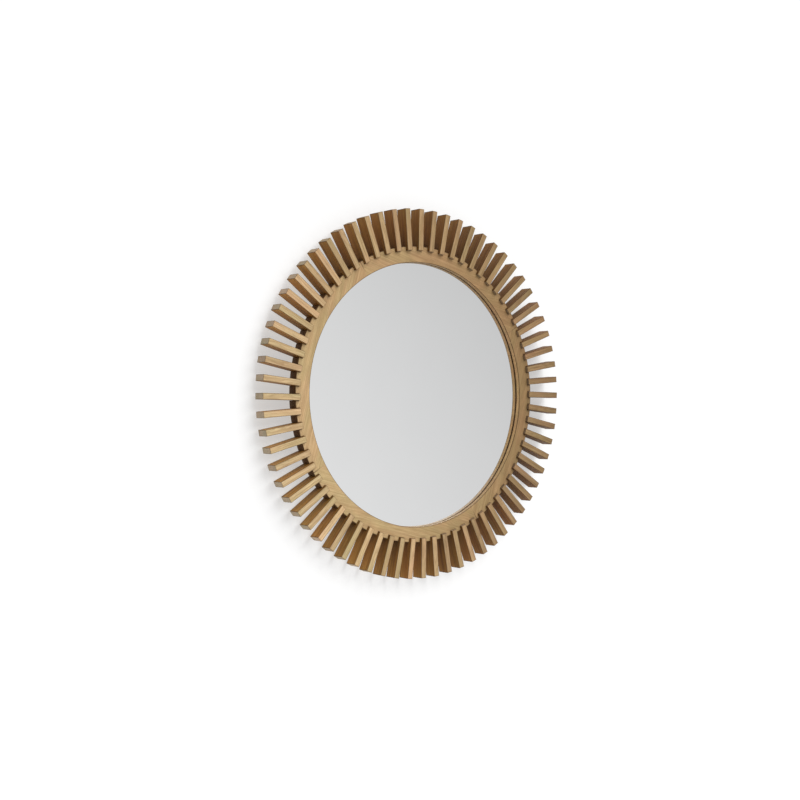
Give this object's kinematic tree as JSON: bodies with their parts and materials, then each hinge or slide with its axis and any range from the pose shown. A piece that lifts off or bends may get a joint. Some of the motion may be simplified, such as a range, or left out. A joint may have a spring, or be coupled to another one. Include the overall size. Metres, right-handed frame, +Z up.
{
  "type": "round wall mirror",
  "caption": "Round wall mirror in a flat wooden ring with thin boards standing out on edge all round it like rays, hung by a bevelled cleat on its back.",
  "frame": {"origin": "middle of the rear face of the hanging cleat, where it lies against the wall", "axes": "+Y points out of the mirror's back at the wall, +Z is up, +X is to the right as seen from the front"},
  "size_m": [0.92, 0.0468, 0.92],
  "materials": {
    "ring_wood": "satin oiled",
    "slat_wood": "satin oiled",
    "mirror": "polished",
    "board_wood": "raw",
    "cleat_wood": "raw"
  },
  "bodies": {
    "root": {"ring_length_1": "ring_wood", "ring_length_2": "ring_wood", "ring_length_3": "ring_wood", "ring_length_4": "ring_wood", "slat_01": "slat_wood", "slat_02": "slat_wood", "slat_03": "slat_wood", "slat_05": "slat_wood", "slat_06": "slat_wood", "slat_07": "slat_wood", "slat_08": "slat_wood", "slat_10": "slat_wood", "slat_11": "slat_wood", "slat_12": "slat_wood", "slat_14": "slat_wood", "slat_15": "slat_wood", "slat_16": "slat_wood", "slat_18": "slat_wood", "slat_19": "slat_wood", "slat_20": "slat_wood", "slat_22": "slat_wood", "slat_23": "slat_wood", "slat_24": "slat_wood", "slat_25": "slat_wood", "slat_27": "slat_wood", "slat_28": "slat_wood", "slat_29": "slat_wood", "slat_31": "slat_wood", "slat_32": "slat_wood", "slat_33": "slat_wood", "slat_35": "slat_wood", "slat_36": "slat_wood", "slat_37": "slat_wood", "slat_39": "slat_wood", "slat_40": "slat_wood", "slat_41": "slat_wood", "slat_42": "slat_wood", "slat_44": "slat_wood", "slat_45": "slat_wood", "slat_46": "slat_wood", "slat_48": "slat_wood", "slat_49": "slat_wood", "slat_50": "slat_wood", "slat_52": "slat_wood", "slat_53": "slat_wood", "slat_54": "slat_wood", "slat_56": "slat_wood", "slat_57": "slat_wood", "slat_58": "slat_wood", "slat_59": "slat_wood", "slat_61": "slat_wood", "slat_62": "slat_wood", "slat_63": "slat_wood", "slat_65": "slat_wood", "slat_66": "slat_wood", "slat_67": "slat_wood", "mirror_glass": "mirror", "backing_board": "board_wood", "hanging_cleat": "cleat_wood", "wall_spacer": "cleat_wood"}
  },
  "joints": []
}
